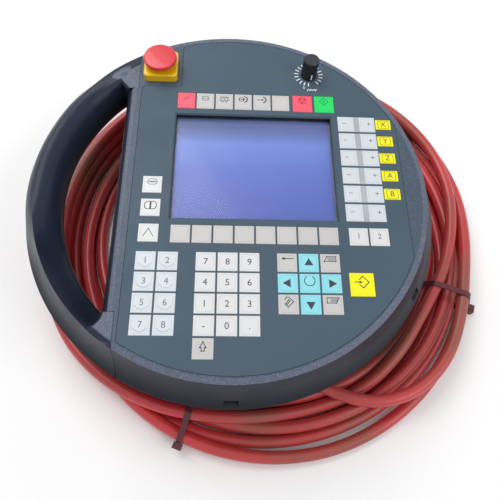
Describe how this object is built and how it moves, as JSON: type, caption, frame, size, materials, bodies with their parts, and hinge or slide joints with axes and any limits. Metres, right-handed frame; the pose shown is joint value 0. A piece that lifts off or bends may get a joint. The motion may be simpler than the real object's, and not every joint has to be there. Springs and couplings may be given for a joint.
{
  "type": "handheld terminal",
  "caption": "Round handheld operating panel with an open curved grip, display, membrane keys, stop button, override knob and a coiled cable.",
  "frame": {"origin": "on the resting surface, under the middle of the round housing", "axes": "+X to the right over the panel as the operator reads it, +Y up the panel, +Z out of its face"},
  "size_m": [0.37, 0.37, 0.1026],
  "materials": {
    "front_shell": "fine moulded texture",
    "rear_shell": "fine moulded texture",
    "film": "satin printed film",
    "circuit_film": "translucent film",
    "window": "clear pane",
    "lcd": "lit blue screen",
    "module_metal": "plain sheet",
    "board": "solder mask",
    "gasket": "matte",
    "screw_steel": "plain",
    "steel": "turned",
    "collar_yellow": "satin",
    "stop_red": "satin",
    "switch_body": "plain",
    "knob_black": "satin",
    "enabling": "ribbed",
    "gland_metal": "nickel plated",
    "sleeve": "matte",
    "cable": "satin jacket",
    "tie": "plain",
    "connector_metal": "satin",
    "key_white": "satin",
    "key_red": "satin",
    "key_green": "satin",
    "key_yellow": "satin",
    "key_cyan": "satin",
    "key_grey": "satin",
    "key_blue": "satin"
  },
  "bodies": {
    "terminal": {"axis_labels": "key_yellow", "bend_sleeve": "sleeve", "board_screws": "screw_steel", "cable_coil": "cable", "cable_connector": "connector_metal", "cable_gland": "gland_metal", "cable_lead": "cable", "cable_tail": "cable", "cable_ties": "tie", "connection_cover": "rear_shell", "connector_ring": "connector_metal", "cover_screws": "screw_steel", "display_window": "window", "enabling_switches": "switch_body", "estop_collar": "collar_yellow", "estop_contact_block": "switch_body", "front_housing": "front_shell", "grip_front": "front_shell", "grip_rear": "rear_shell", "grip_screws": "screw_steel", "housing_gasket": "gasket", "housing_screws": "screw_steel", "jog_keys": "key_blue", "keypad_circuit": "circuit_film", "lcd_module": "module_metal", "lcd_panel": "lcd", "main_board": "board", "membrane_overlay": "film", "number_keys": "key_white", "potentiometer": "module_metal", "potentiometer_nut": "steel", "rear_housing": "rear_shell", "service_keys": "key_white", "soft_keys": "key_grey", "spindle_keys": "key_white", "user_keys": "key_blue"},
    "stop_plunger": {"estop_stem": "steel"},
    "stop_head": {"estop_mushroom": "stop_red"},
    "override_dial": {"override_knob": "knob_black", "potentiometer_shaft": "steel"},
    "left_button": {"enabling_button_left": "enabling"},
    "right_button": {"enabling_button_right": "enabling"},
    "reset_key_body": {"reset_key": "key_red"},
    "cancel_key_body": {"cancel_key": "key_white"},
    "jog_mode_key_body": {"jog_mode_key": "key_white"},
    "teach_mode_key_body": {"teach_mode_key": "key_white"},
    "auto_mode_key_body": {"auto_mode_key": "key_white"},
    "panel_key_body": {"panel_key": "key_white"},
    "stop_key_body": {"stop_key": "key_red"},
    "start_key_body": {"start_key": "key_green"},
    "backspace_key_body": {"backspace_key": "key_white"},
    "up_key_body": {"up_key": "key_cyan"},
    "page_up_key_body": {"page_up_key": "key_white"},
    "left_key_body": {"left_key": "key_cyan"},
    "select_key_body": {"select_key": "key_cyan"},
    "right_key_body": {"right_key": "key_cyan"},
    "insert_key_body": {"insert_key": "key_white"},
    "down_key_body": {"down_key": "key_cyan"},
    "page_down_key_body": {"page_down_key": "key_white"},
    "input_key_body": {"input_key": "key_yellow"}
  },
  "joints": [
    {"name": "emergency_press", "type": "slide", "parent": "terminal", "child": "stop_plunger", "axis": [0, 0, 1], "range_m": [-0.0035, 0]},
    {"name": "emergency_twist", "type": "hinge", "parent": "stop_plunger", "child": "stop_head", "pos_m": [-0.0597, 0.1077, 0.097], "axis": [0, 0, 1], "range_deg": [-45, 0], "stiffness_Nm_per_rad": 0.05},
    {"name": "override_turn", "type": "hinge", "parent": "terminal", "child": "override_dial", "pos_m": [0.0608, 0.1061, 0.09], "axis": [0, 0, 1], "range_deg": [0, 330]},
    {"name": "left_button_press", "type": "slide", "parent": "terminal", "child": "left_button", "axis": [1, 0, 0], "range_m": [0, 0.003], "stiffness_N_per_m": 1500},
    {"name": "right_button_press", "type": "slide", "parent": "terminal", "child": "right_button", "axis": [-1, 0, 0], "range_m": [0, 0.003], "stiffness_N_per_m": 1500},
    {"name": "reset_press", "type": "slide", "parent": "terminal", "child": "reset_key_body", "axis": [0, 0, 1], "range_m": [-0.0004, 0], "stiffness_N_per_m": 2500},
    {"name": "cancel_press", "type": "slide", "parent": "terminal", "child": "cancel_key_body", "axis": [0, 0, 1], "range_m": [-0.0004, 0], "stiffness_N_per_m": 2500},
    {"name": "jog_mode_press", "type": "slide", "parent": "terminal", "child": "jog_mode_key_body", "axis": [0, 0, 1], "range_m": [-0.0004, 0], "stiffness_N_per_m": 2500},
    {"name": "teach_mode_press", "type": "slide", "parent": "terminal", "child": "teach_mode_key_body", "axis": [0, 0, 1], "range_m": [-0.0004, 0], "stiffness_N_per_m": 2500},
    {"name": "auto_mode_press", "type": "slide", "parent": "terminal", "child": "auto_mode_key_body", "axis": [0, 0, 1], "range_m": [-0.0004, 0], "stiffness_N_per_m": 2500},
    {"name": "panel_press", "type": "slide", "parent": "terminal", "child": "panel_key_body", "axis": [0, 0, 1], "range_m": [-0.0004, 0], "stiffness_N_per_m": 2500},
    {"name": "stop_press", "type": "slide", "parent": "terminal", "child": "stop_key_body", "axis": [0, 0, 1], "range_m": [-0.0004, 0], "stiffness_N_per_m": 2500},
    {"name": "start_press", "type": "slide", "parent": "terminal", "child": "start_key_body", "axis": [0, 0, 1], "range_m": [-0.0004, 0], "stiffness_N_per_m": 2500},
    {"name": "backspace_press", "type": "slide", "parent": "terminal", "child": "backspace_key_body", "axis": [0, 0, 1], "range_m": [-0.0004, 0], "stiffness_N_per_m": 2500},
    {"name": "up_press", "type": "slide", "parent": "terminal", "child": "up_key_body", "axis": [0, 0, 1], "range_m": [-0.0004, 0], "stiffness_N_per_m": 2500},
    {"name": "page_up_press", "type": "slide", "parent": "terminal", "child": "page_up_key_body", "axis": [0, 0, 1], "range_m": [-0.0004, 0], "stiffness_N_per_m": 2500},
    {"name": "left_press", "type": "slide", "parent": "terminal", "child": "left_key_body", "axis": [0, 0, 1], "range_m": [-0.0004, 0], "stiffness_N_per_m": 2500},
    {"name": "select_press", "type": "slide", "parent": "terminal", "child": "select_key_body", "axis": [0, 0, 1], "range_m": [-0.0004, 0], "stiffness_N_per_m": 2500},
    {"name": "right_press", "type": "slide", "parent": "terminal", "child": "right_key_body", "axis": [0, 0, 1], "range_m": [-0.0004, 0], "stiffness_N_per_m": 2500},
    {"name": "insert_press", "type": "slide", "parent": "terminal", "child": "insert_key_body", "axis": [0, 0, 1], "range_m": [-0.0004, 0], "stiffness_N_per_m": 2500},
    {"name": "down_press", "type": "slide", "parent": "terminal", "child": "down_key_body", "axis": [0, 0, 1], "range_m": [-0.0004, 0], "stiffness_N_per_m": 2500},
    {"name": "page_down_press", "type": "slide", "parent": "terminal", "child": "page_down_key_body", "axis": [0, 0, 1], "range_m": [-0.0004, 0], "stiffness_N_per_m": 2500},
    {"name": "input_press", "type": "slide", "parent": "terminal", "child": "input_key_body", "axis": [0, 0, 1], "range_m": [-0.0004, 0], "stiffness_N_per_m": 2500}
  ]
}
